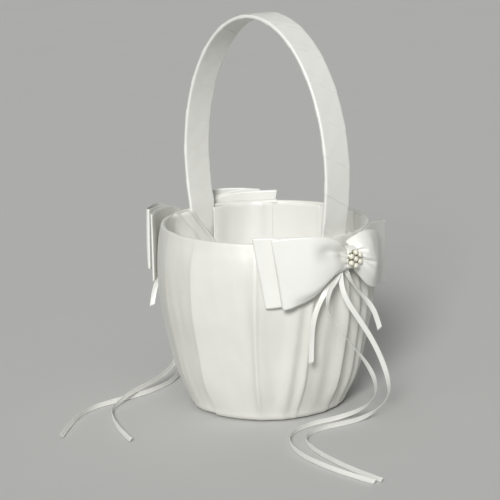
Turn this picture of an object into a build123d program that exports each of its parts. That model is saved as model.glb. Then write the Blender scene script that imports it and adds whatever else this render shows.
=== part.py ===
from build123d import *
from math import cos, radians, sin, tan
import os

# Flower girl basket: a satin-covered cup with an arched, ribbon-wrapped handle and a pearl-centred bow at each
# end of the handle. Millimetres. The origin is the centre of the underside, +Z is up, +X points to the front bow.

# Cup: outer radius of the satin at each height, from above the rounded bottom edge to the rim
RIM_RADIUS = 75.0
RIM_HEIGHT = 132.0
WALL_HEIGHTS = [6.0, 26.0, 53.0, 79.0, 105.0, RIM_HEIGHT]
WALL_RADII = [57.25, 64.7, 70.8, 75.6, 76.7, RIM_RADIUS]
CORNER_CENTRE = 51.5
CORNER_RADIUS = WALL_RADII[0] - CORNER_CENTRE
COVER_THICK = 1.0
SHELL_THICK = 1.6
LINING_GAP = 0.3
LINING_THICK = 2.1
LINING_TOP = RIM_HEIGHT - 1.3

# Covered discs under the base and on the inside floor
BASE_SATIN_THICK = 0.5
BASE_SATIN_RADIUS = 51.0
BASE_CARD_RADIUS = 50.5
FLOOR_CARD_THICK = 1.5
FLOOR_CARD_RADIUS = 48.5
FLOOR_SATIN_THICK = 1.3

# Handle: a stiff strip bent into an arch, inside a wound ribbon
HANDLE_WIDTH = 22.8
HANDLE_THICK = 2.6
WRAP_THICK = 0.5
HANDLE_TOP = 280.0
SPRING_HEIGHT = 172.0
SPRING_SPAN = 75.8
FOOT_LOW = 94.0
FOOT_LOW_SPAN = 72.2
FOOT_BEND_HEIGHT = 129.0
FOOT_BEND_SPAN = 71.2
FOOT_SLOT_WIDTH = 24.4
FOOT_SLOT_LOW = 92.0

# Staples that fix each foot of the handle to the shell
STAPLE_HEIGHTS = [104.0, 118.0]
STAPLE_WIDTH = 10.0
STAPLE_WIRE = 0.7
STAPLE_TIP_SPAN = 74.6
STAPLE_ROOM = 0.1

# Bows: two pairs of flat ribbon loops, pinched by a knot, on a felt pad
KNOT_CENTRE = 119.8
KNOT_LOW = 112.5
KNOT_TOP = 127.1
KNOT_NEAR = 79.0
KNOT_FAR = 90.0
KNOT_WIDTH = 12.0
KNOT_WALL = 1.0
RIBBON_THICK = 0.7
PAD_RADIUS = 5.0
PEARL_RADIUS = 1.9
PEARL_RING = 4.6
PEARL_SINK = 0.5
SETTING_THICK = 0.8
SETTING_LOBE = 1.7

# Narrow ribbon tails: the tube's diameter is the ribbon's width
TAIL_WIDTH = 3.8
ARC_SHARE = 0.45

FRONT_TAILS = {
    "tail_long_a": [
        (86, -1, 114), (87, -9.5, 105.5), (88.5, -20, 101), (91, -26, 90), (93.5, -20, 76), (96, -7.5, 61),
        (98, 4.5, 46), (98.5, 13, 31), (93.5, 17.5, 17), (83, 13, 7), (73.5, -1, 1.9), (69.5, -19, 1.9),
        (71.5, -38, 1.9), (81, -54, 1.9), (97, -66, 1.9), (117, -73, 1.9), (139, -76, 1.9), (162, -76.5, 1.9),
        (184.5, -74.5, 1.9),
    ],
    "tail_long_b": [
        (86, 2.4, 114), (87.5, -0.5, 103), (91, -3, 92), (94, 2.5, 78.5), (96.5, 10.5, 63), (98, 18, 47.5),
        (98.5, 24.5, 31.5), (95.5, 29.5, 16.5), (89.5, 24, 6.5), (86.5, 10, 1.9), (84.5, -7, 1.9),
        (82, -22, 1.9), (84, -38, 1.9), (93, -50, 1.9), (108, -57.5, 1.9), (128, -63, 1.9),
        (148, -66.5, 1.9), (167, -68.5, 1.9), (185.5, -69, 1.9),
    ],
    "tail_short_a": [
        (81.4, -1.6, 114), (81.8, -7, 104.5), (82, -15.5, 98.5), (81.5, -23.5, 90.5), (80, -28, 78.5),
        (78, -29, 63), (76.5, -28, 48),
    ],
    "tail_short_b": [
        (81.2, 1.9, 114), (83.5, 5, 104), (86, 9.5, 94.5), (88.5, 16, 85.5), (90, 21.5, 76), (90, 25, 66.8),
    ],
}
BACK_TAILS = {
    "tail_long_a": [
        (-86, 1.9, 114), (-87.5, 4.5, 103), (-91, 5, 90), (-95, 3.5, 75), (-98, 3, 58), (-99, 4, 42),
        (-98, 2, 27), (-92, -8, 16), (-83.5, -23, 9.5), (-77, -41, 7), (-71, -58, 6.6), (-66, -75, 6),
        (-61.5, -90, 3), (-54, -102, 1.9), (-41, -111.5, 1.9), (-25, -120.5, 1.9), (-8, -128, 1.9),
        (9, -134, 1.9),
    ],
    "tail_long_b": [
        (-86, -2.1, 114), (-88, -4, 103), (-92, -3, 90), (-97.5, -1, 75), (-102.5, 1, 59), (-105, 1.5, 43),
        (-103.5, 1, 28), (-96.5, -2, 14.5), (-87, -11, 5.5), (-79, -24.5, 1.9), (-73, -41, 1.9),
        (-69.5, -58, 1.9), (-69, -75, 1.9), (-69, -91, 1.9), (-68, -107, 1.9), (-62, -122, 1.9),
        (-53, -136.5, 1.9), (-42.5, -150, 1.9), (-31.5, -162.5, 1.9),
    ],
    "tail_short_a": [
        (-81.4, 1.9, 114), (-82, 6.5, 104.5), (-83, 14, 97.5), (-83.5, 21, 89), (-82.5, 26, 77.5),
        (-80.5, 28, 63), (-79, 28, 49),
    ],
    "tail_short_b": [
        (-81.2, -2.2, 114), (-82.5, -7, 104), (-84, -13.5, 96.5), (-85.5, -20.5, 88), (-86, -26.5, 78),
        (-86, -30, 67.5),
    ],
}

os.makedirs("parts", exist_ok=True)


def save(part, label):
    part.label = label
    export_step(part, f"parts/{label}.step")


# ---------------------------------------------------------------- cup


def wall_line(inset, top):
    """Half outline of the cup, inset from the satin's outside, from the flat bottom to the height top."""
    corner = CORNER_RADIUS - inset
    start = (CORNER_CENTRE, WALL_HEIGHTS[0] - corner)
    end = (CORNER_CENTRE + corner, WALL_HEIGHTS[0])
    middle = (CORNER_CENTRE + corner * 0.5**0.5, WALL_HEIGHTS[0] - corner * 0.5**0.5)
    ThreePointArc(start, middle, end)
    heights = WALL_HEIGHTS[:-1] + [top]
    Spline([(r - inset, z) for r, z in zip(WALL_RADII, heights)], tangents=[(0.42, 1), (-0.1, 1)])
    return start, (WALL_RADII[-1] - inset, top)


shell_inset = COVER_THICK + SHELL_THICK
shell_top = RIM_HEIGHT - COVER_THICK
shell_bottom = WALL_HEIGHTS[0] - CORNER_RADIUS + COVER_THICK
floor_level = shell_bottom + SHELL_THICK
foot_slot = Pos(0, 0, (FOOT_SLOT_LOW + RIM_HEIGHT) / 2) * Box(
    4 * RIM_RADIUS, FOOT_SLOT_WIDTH, RIM_HEIGHT - FOOT_SLOT_LOW
)

# The stiff cup, open at the top
with BuildPart() as plain_shell:
    with BuildSketch(Plane.XZ):
        with BuildLine():
            outer_start, outer_end = wall_line(COVER_THICK, shell_top)
            inner_start, inner_end = wall_line(shell_inset, shell_top)
            Line(outer_end, inner_end)
            Polyline(inner_start, (0, inner_start[1]), (0, outer_start[1]), outer_start)
        make_face()
    revolve(axis=Axis.Z)

# The satin outside the cup, turned over the shell's top edge and under its bottom edge
with BuildPart() as outer_cover:
    with BuildSketch(Plane.XZ):
        with BuildLine():
            outer_start, outer_end = wall_line(0, RIM_HEIGHT)
            inner_start, inner_end = wall_line(COVER_THICK, shell_top)
            Polyline(
                outer_end,
                (RIM_RADIUS - shell_inset, RIM_HEIGHT),
                (RIM_RADIUS - shell_inset, shell_top),
                inner_end,
            )
            Line(inner_start, outer_start)
        make_face()
    revolve(axis=Axis.Z)

# The satin inside the cup, parted at each end of the handle
lining_low = WALL_HEIGHTS[0] + 0.5
with BuildPart() as lining:
    with BuildSketch(Plane.XZ):
        outer_inset = shell_inset + LINING_GAP
        with BuildLine():
            outer_start, outer_end = wall_line(outer_inset, LINING_TOP)
            inner_start, inner_end = wall_line(outer_inset + LINING_THICK, LINING_TOP)
            Line(outer_end, inner_end)
            Line(inner_start, outer_start)
        make_face()
        with Locations((CORNER_CENTRE, lining_low / 2)):
            Rectangle(3 * CORNER_RADIUS, lining_low, mode=Mode.SUBTRACT)
    revolve(axis=Axis.Z)
    add(foot_slot, mode=Mode.SUBTRACT)

# Covered disc on the inside floor: card, and the satin over its top and edge
floor_card_top = floor_level + 0.1 + FLOOR_CARD_THICK
with BuildPart() as floor_card:
    with BuildSketch(Plane.XY.offset(floor_level + 0.1)):
        Circle(FLOOR_CARD_RADIUS)
    extrude(amount=FLOOR_CARD_THICK)

with BuildPart() as floor_satin:
    with BuildSketch(Plane.XY.offset(floor_level + 0.1)):
        Circle(FLOOR_CARD_RADIUS + FLOOR_SATIN_THICK)
    extrude(amount=FLOOR_CARD_THICK + FLOOR_SATIN_THICK)
    fillet(floor_satin.edges().group_by(Axis.Z)[-1], radius=1.0)
    with BuildSketch(Plane.XY.offset(floor_level + 0.1)):
        Circle(FLOOR_CARD_RADIUS)
    extrude(amount=FLOOR_CARD_THICK, mode=Mode.SUBTRACT)

# Covered disc under the base: satin below, card above
with BuildPart() as base_cover:
    with BuildSketch():
        Circle(BASE_SATIN_RADIUS)
    extrude(amount=BASE_SATIN_THICK)

with BuildPart() as base_card:
    with BuildSketch(Plane.XY.offset(BASE_SATIN_THICK)):
        Circle(BASE_CARD_RADIUS)
    extrude(amount=shell_bottom - BASE_SATIN_THICK)


# ---------------------------------------------------------------- handle


def band_side(depth, foot_low):
    """One face of the right half of the handle, depth inside the outer face, from the foot to the apex."""
    low = (FOOT_LOW_SPAN - depth, foot_low)
    bend = (FOOT_BEND_SPAN - depth, FOOT_BEND_HEIGHT)
    spring = (SPRING_SPAN - depth, SPRING_HEIGHT)
    rise = HANDLE_TOP - SPRING_HEIGHT - depth
    Line(low, bend)
    Spline(bend, (bend[0] + 2.6, 148), spring, tangents=[(-0.02, 1), (0, 1)])
    EllipticalCenterArc((0, SPRING_HEIGHT), spring[0], rise, start_angle=0, arc_size=90)
    return low, (0, SPRING_HEIGHT + rise)


def handle_arch(inset, width):
    """The bent strip, inset from all faces of the finished handle."""
    with BuildPart() as arch:
        with BuildSketch(Plane.XZ):
            with BuildLine():
                outer_low, outer_top = band_side(inset, FOOT_LOW + inset)
                inner_low, inner_top = band_side(HANDLE_THICK - inset, FOOT_LOW + inset)
                Line(outer_low, inner_low)
                Line(outer_top, inner_top)
            make_face()
            mirror(about=Plane.YZ)
        extrude(amount=width / 2, both=True)
    return arch.part


def staple_bars(room):
    """Crown and two legs of each staple of the front foot, grown by room on every side."""
    bars = []
    wire = STAPLE_WIRE + 2 * room
    for height in STAPLE_HEIGHTS:
        lean = (FOOT_LOW_SPAN - FOOT_BEND_SPAN) / (FOOT_BEND_HEIGHT - FOOT_LOW)
        face = FOOT_LOW_SPAN - HANDLE_THICK - lean * (height - FOOT_LOW)
        crown_low = face - STAPLE_WIRE - 0.1
        length = STAPLE_TIP_SPAN + room - crown_low
        bars.append(Pos(crown_low + STAPLE_WIRE / 2, 0, height) * Box(STAPLE_WIRE, STAPLE_WIDTH + 2 * room, wire))
        for side in (-1, 1):
            place = Pos(crown_low + length / 2, side * (STAPLE_WIDTH - STAPLE_WIRE) / 2, height)
            bars.append(place * Box(length, wire, wire))
    return bars


def turned(part):
    """The same piece at the back of the basket."""
    return part.rotate(Axis.Z, 180)


def front_and_back(bars):
    return bars + [turned(bar) for bar in bars]


whole_arch = handle_arch(0, HANDLE_WIDTH)
core_arch = handle_arch(WRAP_THICK, HANDLE_WIDTH - 2 * WRAP_THICK)
staple_steel = staple_bars(0)
staple_holes = front_and_back(staple_bars(STAPLE_ROOM))

with BuildPart() as handle_core:
    add(core_arch)
    for bar in staple_holes:
        add(bar, mode=Mode.SUBTRACT)

with BuildPart() as handle_wrap:
    add(whole_arch)
    add(core_arch, mode=Mode.SUBTRACT)
    for bar in staple_holes:
        add(bar, mode=Mode.SUBTRACT)

# The stiff cup again, with the staples' holes in its wall
with BuildPart() as basket_shell:
    add(plain_shell.part)
    for bar in staple_holes:
        add(bar, mode=Mode.SUBTRACT)

with BuildPart() as front_foot_staples:
    for bar in staple_steel:
        add(bar)


# ---------------------------------------------------------------- bows


def loop_pair(near, far):
    """A ribbon folded into a loop each side of the knot; near and far are three points along its two faces."""
    with BuildPart() as loops:
        with BuildSketch(Plane.XY.offset(KNOT_LOW - 30)):
            with BuildLine():
                ThreePointArc(*near)
                ThreePointArc(*far)
                Line(near[-1], far[-1])
                Line(near[0], far[0])
            make_face()
            offset(amount=-RIBBON_THICK, kind=Kind.INTERSECTION, mode=Mode.SUBTRACT)
            with Locations(((near[0][0] + far[0][0]) / 2, near[0][1] / 2)):
                Rectangle(far[0][0] - near[0][0], near[0][1] + RIBBON_THICK)
            mirror(about=Plane.XZ)
        extrude(amount=70)
        with BuildSketch(Plane.YZ):
            with BuildLine():
                Polyline(
                    (0, 125.5), (7, 125.5), (11, 131), (17, 136), (26, 138.5), (64, 136.5), (64, 88), (55, 88),
                    (46, 93), (36, 101), (26, 110.5), (15, 114.5), (0, 114.5), (0, 125.5),
                )
            make_face()
            mirror(about=Plane.YZ)
        extrude(amount=2 * KNOT_FAR, mode=Mode.INTERSECT)
    return loops.part


back_loops = loop_pair(near=[(80.2, 7), (73.4, 28), (53.2, 59.5)], far=[(82.8, 7), (75.9, 30), (54.8, 61.8)])
front_loops = loop_pair(near=[(83.8, 7), (80.2, 31), (66.0, 53.0)], far=[(88.4, 7), (89.8, 29), (68.5, 55.8)])

# The ribbon band round the middle of the loops
knot_depth = KNOT_FAR - KNOT_NEAR
knot_height = KNOT_TOP - KNOT_LOW
with BuildPart() as front_bow_knot:
    with BuildSketch(Plane.XZ.offset(-KNOT_WIDTH / 2)):
        with Locations(((KNOT_NEAR + KNOT_FAR) / 2, (KNOT_LOW + KNOT_TOP) / 2)):
            Rectangle(knot_depth, knot_height)
            Rectangle(knot_depth - 2 * KNOT_WALL, knot_height - 2 * KNOT_WALL, mode=Mode.SUBTRACT)
    extrude(amount=KNOT_WIDTH)

# Felt pad between the knot and the cup's satin, shaped to the cup
with BuildPart() as front_bow_pad:
    with BuildSketch(Plane.YZ.offset(KNOT_NEAR)):
        with Locations((0, KNOT_CENTRE)):
            Circle(PAD_RADIUS)
    extrude(amount=RIM_RADIUS - KNOT_NEAR)
    with BuildSketch(Plane.XZ):
        with BuildLine():
            outline_start, outline_end = wall_line(0, RIM_HEIGHT)
            Polyline(outline_end, (0, RIM_HEIGHT), (0, outline_start[1]), outline_start)
        make_face()
    revolve(axis=Axis.Z, mode=Mode.SUBTRACT)

# Metal flower on the knot, with a dimple for each pearl, and the pearls
pearl_depth = KNOT_FAR + SETTING_THICK + PEARL_RADIUS - PEARL_SINK
ring_angles = [radians(60 * k + 30) for k in range(6)]
pearl_ring = [(PEARL_RING * cos(a), KNOT_CENTRE + PEARL_RING * sin(a)) for a in ring_angles]
pearl_places = [(0, KNOT_CENTRE)] + pearl_ring
pearl_balls = [Pos(pearl_depth, y, z) * Sphere(PEARL_RADIUS) for y, z in pearl_places]

with BuildPart() as front_bow_setting:
    with BuildSketch(Plane.YZ.offset(KNOT_FAR)):
        with Locations((0, KNOT_CENTRE)):
            Circle(PEARL_RING)
        with Locations(*pearl_ring):
            Circle(SETTING_LOBE)
    extrude(amount=SETTING_THICK)
    for ball in pearl_balls:
        add(ball, mode=Mode.SUBTRACT)

with BuildPart() as front_bow_pearls:
    for ball in pearl_balls:
        add(ball)


# ---------------------------------------------------------------- tails


def tail_tube(route):
    """Round tube along straight runs joined by tangent arcs, cut off flat at the knot's underside."""
    points = [Vector(*p) for p in route]
    radii = []
    for a, b, c in zip(points, points[1:], points[2:]):
        turn = (b - a).get_angle(c - b)
        radii.append(ARC_SHARE * min((b - a).length, (c - b).length) / tan(radians(turn / 2)))
    with BuildPart() as tube:
        with BuildLine():
            path = FilletPolyline(*points, radius=radii)
        with BuildSketch(Plane(origin=path @ 0, z_dir=path % 0)):
            Circle(TAIL_WIDTH / 2)
        sweep()
        whole = tube.part.volume
        split(bisect_by=Plane.XY.offset(KNOT_LOW), keep=Keep.BOTTOM)
    section = Circle(TAIL_WIDTH / 2).area
    print(f"  length {path.length:.1f}, radii {min(radii):.1f} to {max(radii):.1f},",
          f"volume over section times length {whole / (section * path.length):.4f}")
    return tube.part


for end, routes in (("front", FRONT_TAILS), ("back", BACK_TAILS)):
    for name, route in routes.items():
        print(f"{end}_{name}")
        save(tail_tube(route), f"{end}_{name}")

cup_and_handle = {
    "basket_shell": basket_shell.part,
    "outer_cover": outer_cover.part,
    "lining": lining.part,
    "floor_card": floor_card.part,
    "floor_satin": floor_satin.part,
    "base_card": base_card.part,
    "base_cover": base_cover.part,
    "handle_core": handle_core.part,
    "handle_wrap": handle_wrap.part,
}
at_each_end = {
    "foot_staples": front_foot_staples.part,
    "bow_back_loops": back_loops,
    "bow_front_loops": front_loops,
    "bow_knot": front_bow_knot.part,
    "bow_pad": front_bow_pad.part,
    "bow_setting": front_bow_setting.part,
    "bow_pearls": front_bow_pearls.part,
}
for name, part in cup_and_handle.items():
    save(part, name)
for name, part in at_each_end.items():
    save(part, f"front_{name}")
    save(turned(part), f"back_{name}")
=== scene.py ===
from math import cos, pi, radians, sin, tau

import bmesh
import bpy
import numpy as np
from mathutils import Matrix, Vector, noise


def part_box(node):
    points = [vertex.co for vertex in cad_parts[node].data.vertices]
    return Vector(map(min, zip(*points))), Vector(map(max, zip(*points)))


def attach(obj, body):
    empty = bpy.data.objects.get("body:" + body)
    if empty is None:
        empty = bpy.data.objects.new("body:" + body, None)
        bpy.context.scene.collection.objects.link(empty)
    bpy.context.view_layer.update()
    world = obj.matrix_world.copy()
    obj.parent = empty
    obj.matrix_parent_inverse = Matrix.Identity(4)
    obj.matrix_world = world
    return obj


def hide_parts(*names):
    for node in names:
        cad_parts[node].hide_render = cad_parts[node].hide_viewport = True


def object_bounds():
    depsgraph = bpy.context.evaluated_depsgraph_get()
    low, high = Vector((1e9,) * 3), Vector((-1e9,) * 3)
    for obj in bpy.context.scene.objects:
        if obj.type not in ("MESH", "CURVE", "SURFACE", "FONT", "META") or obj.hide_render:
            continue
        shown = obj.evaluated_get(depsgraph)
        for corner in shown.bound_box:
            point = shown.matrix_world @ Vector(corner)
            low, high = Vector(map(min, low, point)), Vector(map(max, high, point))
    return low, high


# Flower girl basket in ivory satin. Blender works in metres; the shapes below are in millimetres. +X points
# to the front bow, +Y across the handle's band, +Z up, and the origin is the centre of the underside.

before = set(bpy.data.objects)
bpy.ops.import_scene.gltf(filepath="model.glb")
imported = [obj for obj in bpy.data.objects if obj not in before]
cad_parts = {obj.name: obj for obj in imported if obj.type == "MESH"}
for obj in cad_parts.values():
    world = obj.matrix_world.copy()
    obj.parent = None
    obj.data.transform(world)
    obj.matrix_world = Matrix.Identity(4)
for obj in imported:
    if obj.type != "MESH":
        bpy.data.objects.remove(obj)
cad_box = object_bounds()

MM = 0.001
scene = bpy.context.scene


def low_high(node):
    """Lowest and highest corner of a CAD node, in mm."""
    low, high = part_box(node)
    return np.array(low) / MM, np.array(high) / MM


# ---------------------------------------------------------------- camera

# The photograph's view: lens and sensor in mm, place in metres, turns in radians
CAMERA_LENS = 144.7
CAMERA_SENSOR = 36
CAMERA_PLACE = (1.0462, -0.9303, 0.4403)
CAMERA_HEADING = 0.852
CAMERA_DOWN = 0.231
CAMERA_ROLL = -0.019

camera_data = bpy.data.cameras.new("camera")
camera_data.lens = CAMERA_LENS
camera_data.sensor_width = CAMERA_SENSOR
camera_data.clip_start = 0.05
camera_data.clip_end = 60
camera = bpy.data.objects.new("camera", camera_data)
scene.collection.objects.link(camera)
camera.matrix_world = (
    Matrix.Translation(CAMERA_PLACE)
    @ Matrix.Rotation(CAMERA_HEADING, 4, "Z")
    @ Matrix.Rotation(pi / 2 - CAMERA_DOWN, 4, "X")
    @ Matrix.Rotation(CAMERA_ROLL, 4, "Z")
)
scene.camera = camera


# ---------------------------------------------------------------- materials


class Graph:
    """Short way to write a node material."""

    def __init__(self, name):
        self.material = bpy.data.materials.new(name)
        self.material.use_nodes = True
        self.tree = self.material.node_tree
        self.shader = next(n for n in self.tree.nodes if n.type == "BSDF_PRINCIPLED")

    def node(self, kind, links, inputs=None, **settings):
        """A node with its settings, its inputs' values and what is linked to them."""
        made = self.tree.nodes.new(kind)
        for key, value in settings.items():
            setattr(made, key, value)
        for key, value in (inputs or {}).items():
            made.inputs[key].default_value = value
        for key, source in links.items():
            self.tree.links.new(source, made.inputs[key])
        return made

    def shape(self, **values):
        """Sets the shader's own sockets, whose names are written with _ for a space."""
        for key, value in values.items():
            self.shader.inputs[key.replace("_", " ")].default_value = value

    def link(self, source, key):
        self.tree.links.new(source, self.shader.inputs[key])

    def place(self, stretch=(1, 1, 1)):
        """Object coordinates in metres, stretched."""
        where = self.node("ShaderNodeTexCoord", {}).outputs["Object"]
        return self.node("ShaderNodeMapping", {"Vector": where}, {"Scale": stretch}).outputs["Vector"]

    def flat(self, stretch=(1, 1, 1)):
        """The flat cloth's coordinates in metres, stretched: X across, Y along."""
        where = self.node("ShaderNodeUVMap", {}, uv_map="UV Map").outputs["UV"]
        return self.node("ShaderNodeMapping", {"Vector": where}, {"Scale": stretch}).outputs["Vector"]

    def cloud(self, where, scale=1.0, detail=2.0):
        made = self.node("ShaderNodeTexNoise", {"Vector": where}, {"Scale": scale, "Detail": detail})
        return made.outputs["Fac"]

    def between(self, factor, low, high):
        """A colour from low to high."""
        made = self.node("ShaderNodeMix", {0: factor}, {6: (*low, 1), 7: (*high, 1)}, data_type="RGBA")
        return made.outputs[2]

    def ranged(self, source, low, high, start=0.0, end=1.0):
        """A value that goes from low to high as the source goes from start to end."""
        inputs = {"From Min": start, "From Max": end, "To Min": low, "To Max": high}
        return self.node("ShaderNodeMapRange", {"Value": source}, inputs).outputs["Result"]

    def bump(self, height, strength, distance, before=None):
        links = {"Height": height}
        if before is not None:
            links["Normal"] = before
        made = self.node("ShaderNodeBump", links, {"Strength": strength, "Distance": distance})
        return made.outputs["Normal"]


SELVEDGE = 0.0006


def satin(name, low, high, crumple=0.3, roughness=0.46, sheen=0.15, width=0.0):
    """Satin: fine long floats, faint slubs and soft crumples. With a width in metres it is a ribbon, which
    has a woven edge on each side."""
    graph = Graph(name)
    slub = graph.cloud(graph.flat((520, 45, 1)))
    floats = graph.cloud(graph.flat((4200, 700, 1)))
    colour = graph.between(graph.ranged(graph.cloud(graph.place(), 34, 3), 0, 1, 0.3, 0.7), low, high)
    normal = graph.bump(graph.cloud(graph.place((1, 1, 0.5)), 46, 3), crumple, 0.0018)
    normal = graph.bump(slub, 0.10, 0.0003, normal)
    normal = graph.bump(floats, 0.10, 0.00008, normal)
    if width:
        across = graph.node("ShaderNodeSeparateXYZ", {0: graph.flat()}).outputs["X"]
        away = graph.node("ShaderNodeMath", {0: across}, {1: width / 2}, operation="SUBTRACT").outputs[0]
        away = graph.node("ShaderNodeMath", {0: away}, operation="ABSOLUTE").outputs[0]
        edge = graph.ranged(away, 0, 1, width / 2 - SELVEDGE, width / 2 - SELVEDGE / 2)
        picks = graph.node("ShaderNodeTexWave", {"Vector": graph.flat((1, 1500, 1))}, {"Scale": 1.0},
                           bands_direction="Y").outputs["Fac"]
        ridge = graph.node("ShaderNodeMath", {0: edge, 1: picks}, operation="MULTIPLY").outputs[0]
        normal = graph.bump(ridge, 0.25, 0.0001, normal)
    graph.link(colour, "Base Color")
    graph.link(graph.ranged(slub, roughness - 0.05, roughness + 0.06), "Roughness")
    graph.link(normal, "Normal")
    graph.shape(Sheen_Weight=sheen, Sheen_Roughness=0.35, Specular_IOR_Level=1.0, IOR=1.62)
    return graph.material


TAIL_RIBBON_WIDTH = 3.8
BOW_RIBBON_WIDTH = 50.0
WRAP_RIBBON_WIDTH = 28.4

cover_satin = satin("cover_satin", (0.745, 0.743, 0.693), (0.785, 0.784, 0.738), 0.35, 0.5, 0.05)
lining_satin = satin("lining_satin", (0.84, 0.838, 0.80), (0.87, 0.87, 0.84))
pad_satin = satin("pad_satin", (0.795, 0.79, 0.735), (0.83, 0.828, 0.78), 0.4)
wrap_satin = satin("wrap_satin", (0.85, 0.85, 0.81), (0.88, 0.88, 0.845), 0.12, width=WRAP_RIBBON_WIDTH * MM)
bow_satin = satin("bow_satin", (0.84, 0.84, 0.8), (0.87, 0.87, 0.835), 0.14, 0.42, width=BOW_RIBBON_WIDTH * MM)
knot_satin = satin("knot_satin", (0.83, 0.83, 0.785), (0.87, 0.87, 0.83), 0.2, 0.42)
tail_satin = satin("tail_satin", (0.83, 0.83, 0.79), (0.87, 0.87, 0.83), 0.08, 0.4, width=TAIL_RIBBON_WIDTH * MM)


def pearl_material():
    graph = Graph("cream_pearl")
    lustre = graph.cloud(graph.place(), 420, 2)
    graph.link(graph.between(lustre, (0.80, 0.765, 0.63), (0.88, 0.86, 0.76)), "Base Color")
    graph.link(graph.ranged(lustre, 0.14, 0.24), "Roughness")
    graph.link(graph.bump(graph.cloud(graph.place(), 1600, 2), 0.06, 0.0001), "Normal")
    graph.shape(Metallic=0.12, Coat_Weight=0.6, Coat_Roughness=0.08, Sheen_Weight=0.2, Specular_IOR_Level=0.6)
    return graph.material


def metal_material(name, low, high, roughness, scale):
    graph = Graph(name)
    grain = graph.cloud(graph.place(), scale, 3)
    graph.link(graph.between(grain, low, high), "Base Color")
    graph.link(graph.ranged(grain, roughness - 0.08, roughness + 0.1), "Roughness")
    graph.link(graph.bump(grain, 0.2, 0.0001), "Normal")
    graph.shape(Metallic=1.0)
    return graph.material


def board_material(name, low, high, scale, strength, roughness=0.85):
    graph = Graph(name)
    fibre = graph.cloud(graph.place((1, 1, 0.4)), scale, 4)
    graph.link(graph.between(fibre, low, high), "Base Color")
    graph.link(graph.ranged(fibre, roughness - 0.08, roughness + 0.08), "Roughness")
    graph.link(graph.bump(fibre, strength, 0.0003), "Normal")
    graph.shape(Sheen_Weight=0.15, Specular_IOR_Level=0.3)
    return graph.material


cream_pearl = pearl_material()
setting_metal = metal_material("setting_metal", (0.50, 0.49, 0.38), (0.68, 0.67, 0.56), 0.3, 900)
staple_steel = metal_material("staple_steel", (0.55, 0.55, 0.56), (0.68, 0.68, 0.69), 0.32, 700)
shell_board = board_material("shell_board", (0.62, 0.60, 0.55), (0.70, 0.68, 0.63), 300, 0.3)
white_card = board_material("white_card", (0.70, 0.69, 0.65), (0.78, 0.77, 0.73), 500, 0.2)
cream_felt = board_material("cream_felt", (0.70, 0.69, 0.63), (0.80, 0.79, 0.74), 900, 0.8, 0.92)

for node_name, material in {
    "basket_shell": shell_board, "floor_card": white_card, "base_card": white_card, "handle_core": white_card,
    "front_foot_staples": staple_steel, "back_foot_staples": staple_steel,
}.items():
    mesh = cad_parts[node_name].data
    mesh.materials.clear()
    mesh.materials.append(material)


# ---------------------------------------------------------------- mesh helpers


def smooth(x, start=0.0, end=1.0):
    """0 before start, 1 after end, and a smooth rise between them."""
    t = np.clip((np.asarray(x, float) - start) / (end - start), 0, 1)
    return t * t * (3 - 2 * t)


def bump_of(x, centre, before, after):
    """A soft bump of height 1 at centre, before and after being its widths on its two sides."""
    x = np.asarray(x, float) - centre
    return np.exp(-((x / np.where(x < 0, before, after)) ** 2))


def curve_through(x, at, values, low_slope=None, high_slope=None):
    """Smooth curve through values at the places at, read at x."""
    at, values = np.asarray(at, float), np.asarray(values, float)
    slopes = np.gradient(values, at)
    if low_slope is not None:
        slopes[0] = low_slope
    if high_slope is not None:
        slopes[-1] = high_slope
    x = np.clip(np.asarray(x, float), at[0], at[-1])
    k = np.clip(np.searchsorted(at, x, side="right") - 1, 0, len(at) - 2)
    h = at[k + 1] - at[k]
    t = (x - at[k]) / h
    return (
        values[k] * (1 + 2 * t) * (1 - t) ** 2
        + slopes[k] * h * t * (1 - t) ** 2
        + values[k + 1] * t * t * (3 - 2 * t)
        + slopes[k + 1] * h * t * t * (t - 1)
    )


def lengths_along(points):
    """Length from the first point to each point."""
    steps = np.linalg.norm(np.diff(points, axis=0), axis=1)
    return np.concatenate([[0], np.cumsum(steps)])


def new_piece(name, mesh, material, stands_for=()):
    """Puts a mesh in the scene as a piece of the basket."""
    mesh.materials.append(material)
    mesh.shade_smooth()
    piece = bpy.data.objects.new(name, mesh)
    scene.collection.objects.link(piece)
    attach(piece, "root")
    if stands_for:
        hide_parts(*stands_for)
    return piece


def sheet_mesh(name, grid, closed=False, across=None, along=None):
    """Quads through a table of points in mm, with the flat cloth's coordinates as its UV map.
    Columns run across the cloth and rows along it; closed joins the last column to the first."""
    grid = np.asarray(grid, float)
    rows, columns = grid.shape[:2]
    if across is None:
        middle = grid[rows // 2]
        across = lengths_along(np.vstack([middle, middle[:1]]) if closed else middle)
    if along is None:
        along = lengths_along(grid[:, columns // 2])
    mesh = bpy.data.meshes.new(name)
    faces, coordinates = [], []
    for i in range(rows - 1):
        for j in range(columns if closed else columns - 1):
            k = (j + 1) % columns
            faces.append((i * columns + j, i * columns + k, (i + 1) * columns + k, (i + 1) * columns + j))
            coordinates += [across[j], along[i], across[j + 1], along[i],
                            across[j + 1], along[i + 1], across[j], along[i + 1]]
    mesh.from_pydata((grid.reshape(-1, 3) * MM).tolist(), [], faces)
    layer = mesh.uv_layers.new(name="UV Map")
    layer.data.foreach_set("uv", np.array(coordinates, np.float32) * MM)
    return mesh


def mesh_of(work, name):
    """Ends the work on a bmesh and gives its mesh."""
    mesh = bpy.data.meshes.new(name)
    work.to_mesh(mesh)
    work.free()
    return mesh


def thicken(piece, thickness, offset=0.0):
    """Gives a sheet its cloth's thickness in mm."""
    solid = piece.modifiers.new("thickness", "SOLIDIFY")
    solid.thickness = thickness * MM
    solid.offset = offset
    solid.use_even_offset = False
    return piece


def turned(grid):
    """The same points at the back of the basket."""
    return np.asarray(grid, float) * (-1, -1, 1)


# ---------------------------------------------------------------- narrow ribbon tails

FACING = np.array([0.73, -0.65, 0.22])

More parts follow.
